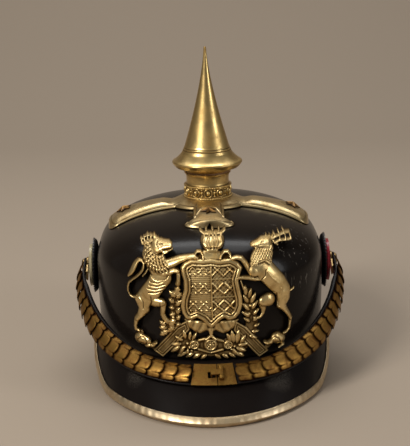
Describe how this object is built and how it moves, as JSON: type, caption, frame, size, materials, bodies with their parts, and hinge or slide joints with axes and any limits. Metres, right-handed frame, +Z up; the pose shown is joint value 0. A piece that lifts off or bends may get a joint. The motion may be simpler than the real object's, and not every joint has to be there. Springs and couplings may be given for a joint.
{
  "type": "military helmet",
  "caption": "Spiked dress helmet of black leather with a relief front plate, cross-shaped spike base, visors, cockades and chin scales laid on the front visor.",
  "frame": {"origin": "under the middle of the helmet's box, on the surface that it stands on", "axes": "+X to the right as seen from the front, -Y to the front, where the front visor and plate are, +Z up along the spike"},
  "size_m": [0.2084, 0.2794, 0.2445],
  "materials": {
    "black_leather": "lacquered, worn gloss",
    "green_leather": "matt, dyed",
    "red_leather": "matt, dyed",
    "trim_brass": "worn, pale",
    "gilt_brass": "gilded, polished",
    "old_brass": "aged",
    "tan_leather": "matt, natural",
    "black_metal": "black enamel",
    "cream_paint": "cream enamel",
    "red_paint": "red enamel",
    "silk": "ribbed silk",
    "cord": "plaited"
  },
  "bodies": {
    "shell": {"skull": "black_leather", "front_visor": "black_leather", "front_visor_lining": "green_leather", "rear_visor": "black_leather", "rear_visor_lining": "red_leather", "visor_trim": "trim_brass", "rear_spine": "gilt_brass", "spine_rivets": "gilt_brass", "spike_base": "gilt_brass", "star_studs": "gilt_brass", "star_nuts": "old_brass", "neck_band": "gilt_brass", "spike_neck": "gilt_brass", "neck_bush": "old_brass", "crown_washer": "tan_leather", "crown_nut": "old_brass", "front_plate": "gilt_brass", "plate_posts": "old_brass", "plate_nuts": "old_brass", "left_cockade": "black_metal", "right_cockade": "black_metal", "left_cockade_dish": "cream_paint", "right_cockade_dish": "red_paint", "left_post": "old_brass", "right_post": "old_brass", "left_post_nut": "old_brass", "right_post_nut": "old_brass", "sweatband": "tan_leather", "lining": "silk", "lining_tie": "cord"},
    "vent": {"vent_slider": "gilt_brass"},
    "spike_seat": {"spike_washer": "tan_leather"},
    "spike": {"spike": "gilt_brass"},
    "left_chin": {"left_strap": "black_leather", "left_scales": "old_brass", "left_loop": "old_brass", "left_end_plate": "old_brass"},
    "right_chin": {"right_strap": "black_leather", "right_scales": "old_brass", "right_loop": "old_brass", "right_end_plate": "old_brass", "catch_pin": "old_brass"},
    "hook": {"catch_hook": "gilt_brass"}
  },
  "joints": [
    {"name": "spike_lift", "type": "slide", "parent": "shell", "child": "spike_seat", "axis": [0, 0, 1], "range_m": [0, 0.009]},
    {"name": "spike_turn", "type": "hinge", "parent": "spike_seat", "child": "spike", "pos_m": [0, 0.01027, 0.1485], "axis": [0, 0, 1], "range_deg": [0, 2160]},
    {"name": "left_chin_swing", "type": "hinge", "parent": "shell", "child": "left_chin", "pos_m": [0, 0.01027, 0.075], "axis": [1, 0, 0], "range_deg": [-88, 0]},
    {"name": "right_chin_swing", "type": "hinge", "parent": "shell", "child": "right_chin", "pos_m": [0, 0.01027, 0.075], "axis": [1, 0, 0], "range_deg": [-88, 0]},
    {"name": "hook_turn", "type": "hinge", "parent": "right_chin", "child": "hook", "pos_m": [0.00531, -0.11296, 0.03037], "axis": [-0.0498, 0.7964, 0.6027], "range_deg": [0, 70]},
    {"name": "vent_slide", "type": "slide", "parent": "shell", "child": "vent", "axis": [0, 0, 1], "range_m": [-0.01, 0]}
  ],
  "couplings": [
    {"joint": "spike_lift", "follows": "spike_turn", "m_per_rad": 0.00023873},
    {"joint": "right_chin_swing", "follows": "left_chin_swing", "ratio": 1}
  ]
}
